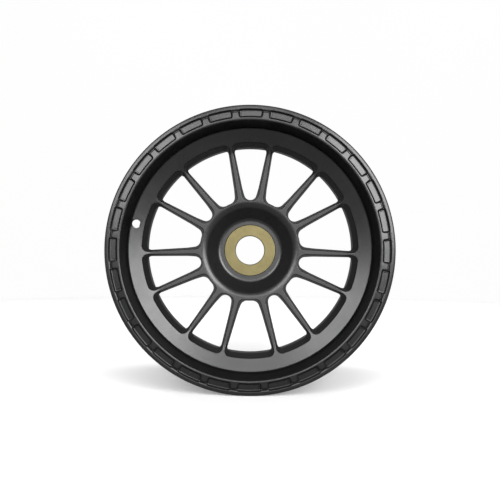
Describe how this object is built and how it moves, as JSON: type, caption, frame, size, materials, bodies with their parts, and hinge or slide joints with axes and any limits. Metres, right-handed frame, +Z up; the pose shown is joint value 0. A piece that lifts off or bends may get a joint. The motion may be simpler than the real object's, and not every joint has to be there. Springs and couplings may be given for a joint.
{
  "type": "racing wheel",
  "caption": "Satin black centre-lock wheel rim for a single-seater racing car, with paired spokes and a gold nut seat.",
  "frame": {"origin": "the wheel's centre, on its axis and halfway across its width", "axes": "+Y along the spin axis towards the car, -Y towards the outboard face, +Z up through the middle of spoke pair 1"},
  "size_m": [0.3634, 0.2534, 0.3634],
  "materials": {
    "satin_black_wheel": "satin black paint on a magnesium casting",
    "gold_insert": "gold anodised, turned",
    "steel": "ground steel"
  },
  "bodies": {
    "root": {"front_flange": "satin_black_wheel", "front_bead_seat": "satin_black_wheel", "dish_wall": "satin_black_wheel", "spoke_ring": "satin_black_wheel", "drop_centre": "satin_black_wheel", "rear_wall": "satin_black_wheel", "rear_bead_seat": "satin_black_wheel", "rear_flange": "satin_black_wheel", "hub_drum": "satin_black_wheel", "spoke_1_left": "satin_black_wheel", "spoke_1_right": "satin_black_wheel", "spoke_2_left": "satin_black_wheel", "spoke_2_right": "satin_black_wheel", "spoke_3_left": "satin_black_wheel", "spoke_3_right": "satin_black_wheel", "spoke_4_left": "satin_black_wheel", "spoke_4_right": "satin_black_wheel", "spoke_5_left": "satin_black_wheel", "spoke_5_right": "satin_black_wheel", "spoke_6_left": "satin_black_wheel", "spoke_6_right": "satin_black_wheel", "spoke_7_left": "satin_black_wheel", "spoke_7_right": "satin_black_wheel", "nut_seat_insert": "gold_insert", "insert_circlip": "steel", "drive_peg_bush_1": "steel", "drive_peg_bush_2": "steel", "drive_peg_bush_3": "steel", "drive_peg_bush_4": "steel", "drive_peg_bush_5": "steel", "drive_peg_bush_6": "steel", "drive_peg_bush_7": "steel"}
  },
  "joints": []
}
